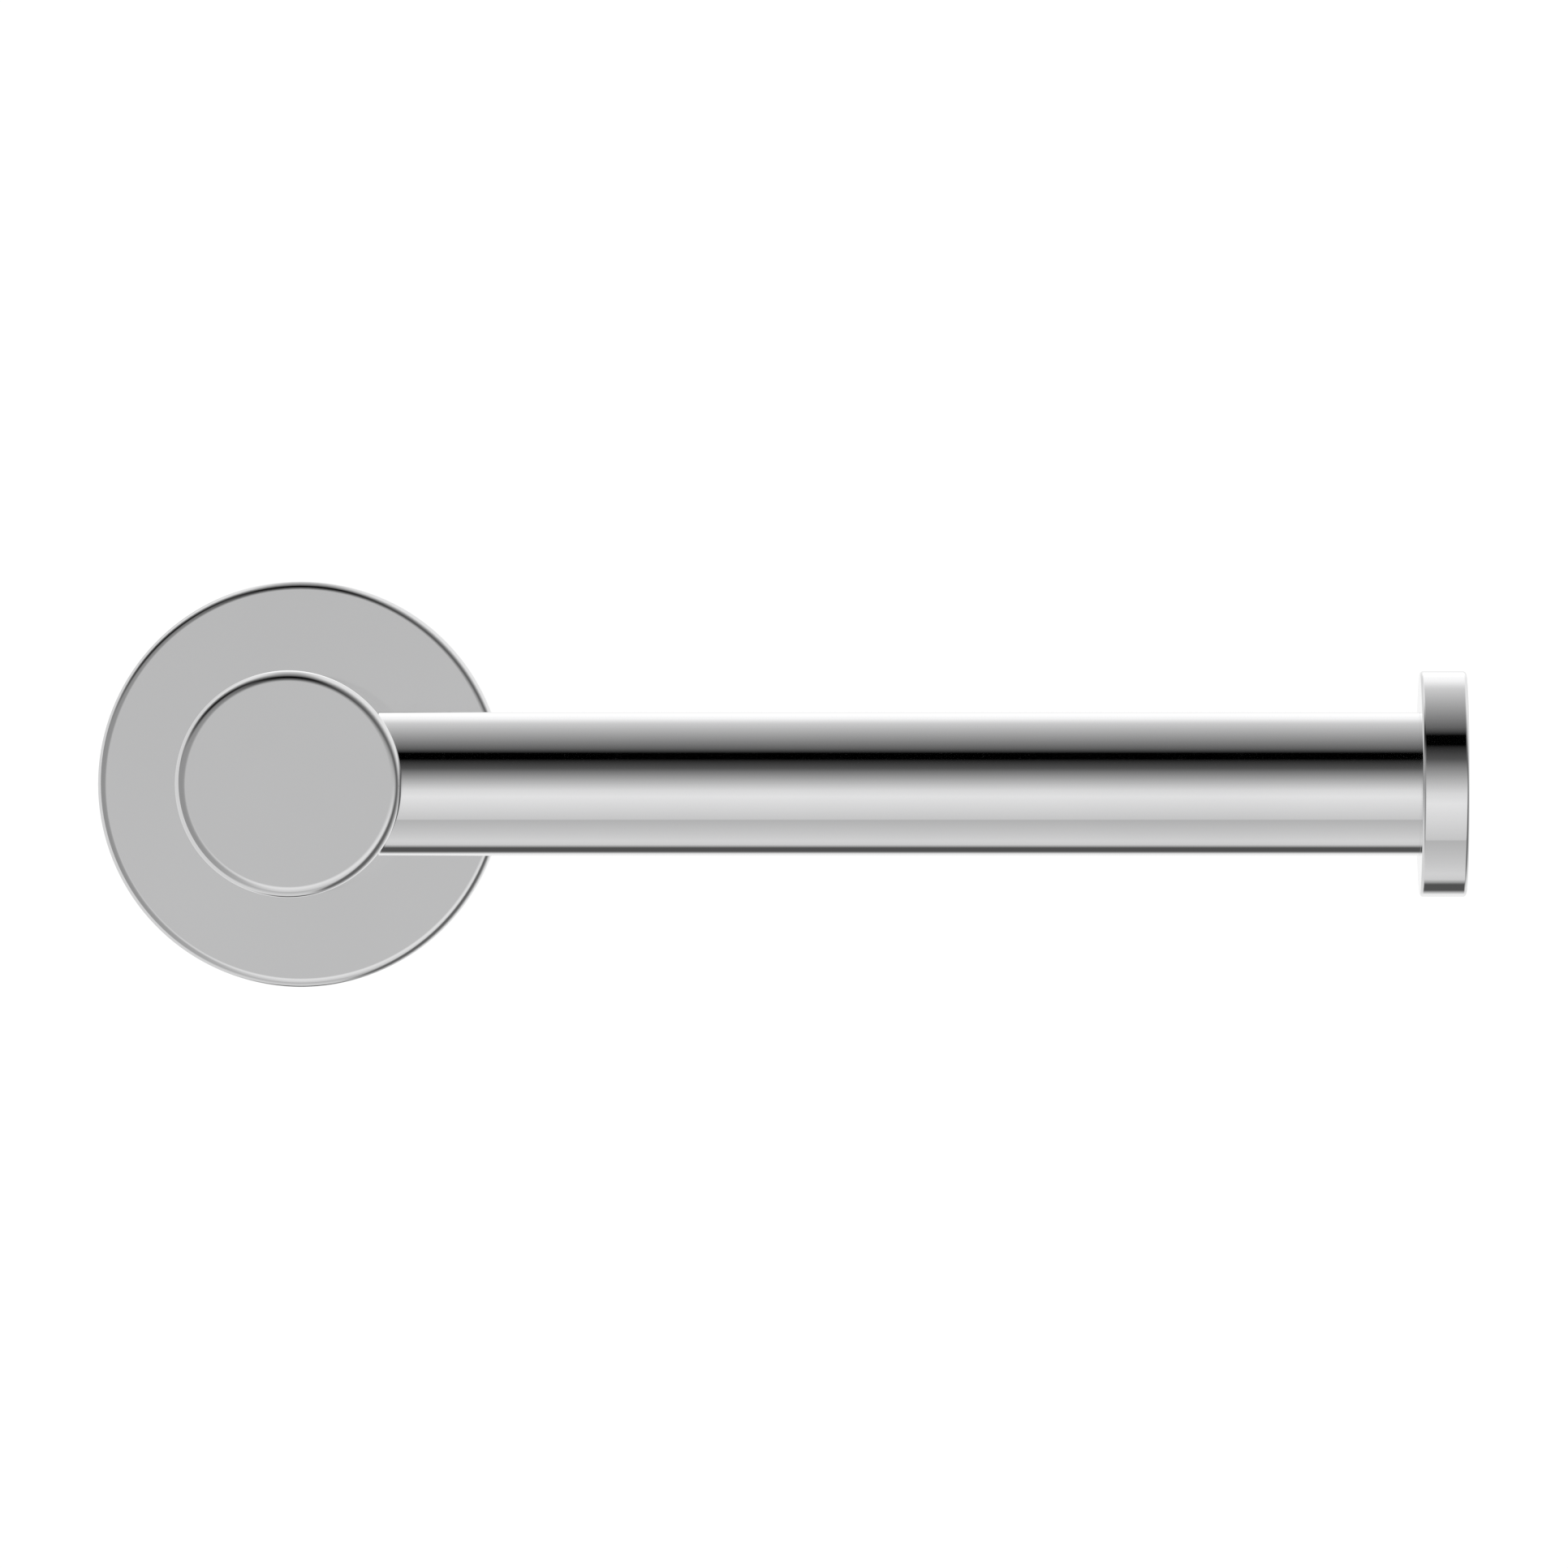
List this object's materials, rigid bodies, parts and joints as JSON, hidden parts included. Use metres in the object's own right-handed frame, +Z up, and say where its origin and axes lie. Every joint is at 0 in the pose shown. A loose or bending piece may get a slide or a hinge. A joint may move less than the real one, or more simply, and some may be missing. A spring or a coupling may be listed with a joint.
{
  "type": "toilet paper holder",
  "caption": "Wall-mounted toilet paper holder with one open arm: a round flange, a round post and a horizontal roll bar that ends in a disc-shaped cap, in polished chrome.",
  "frame": {"origin": "on the wall plane, midway between the two wall screw slots, on the axis of the flange and the post", "axes": "+Z up; +X along the roll bar, towards its free end; +Y into the wall, so that the holder stands out towards -Y"},
  "size_m": [0.1834, 0.08, 0.055],
  "materials": {
    "chrome_plate": "polished chrome plate on brass",
    "cast_zinc": "as-cast zinc alloy, dull grey",
    "turned_brass": "turned, unplated",
    "stainless_steel": "plain turned stainless steel",
    "zinc_plated_steel": "bright zinc plate"
  },
  "bodies": {
    "root": {"wall_bracket": "cast_zinc", "flange": "chrome_plate", "post": "chrome_plate", "bar_tube": "chrome_plate", "end_cap": "chrome_plate", "bar_root_plug": "turned_brass", "bar_end_plug": "turned_brass", "bar_spigot": "stainless_steel", "cap_stud": "stainless_steel", "post_screw": "zinc_plated_steel", "post_washer": "zinc_plated_steel", "locating_pin": "stainless_steel", "set_screw": "stainless_steel", "bar_lock_screw": "stainless_steel"}
  },
  "joints": []
}
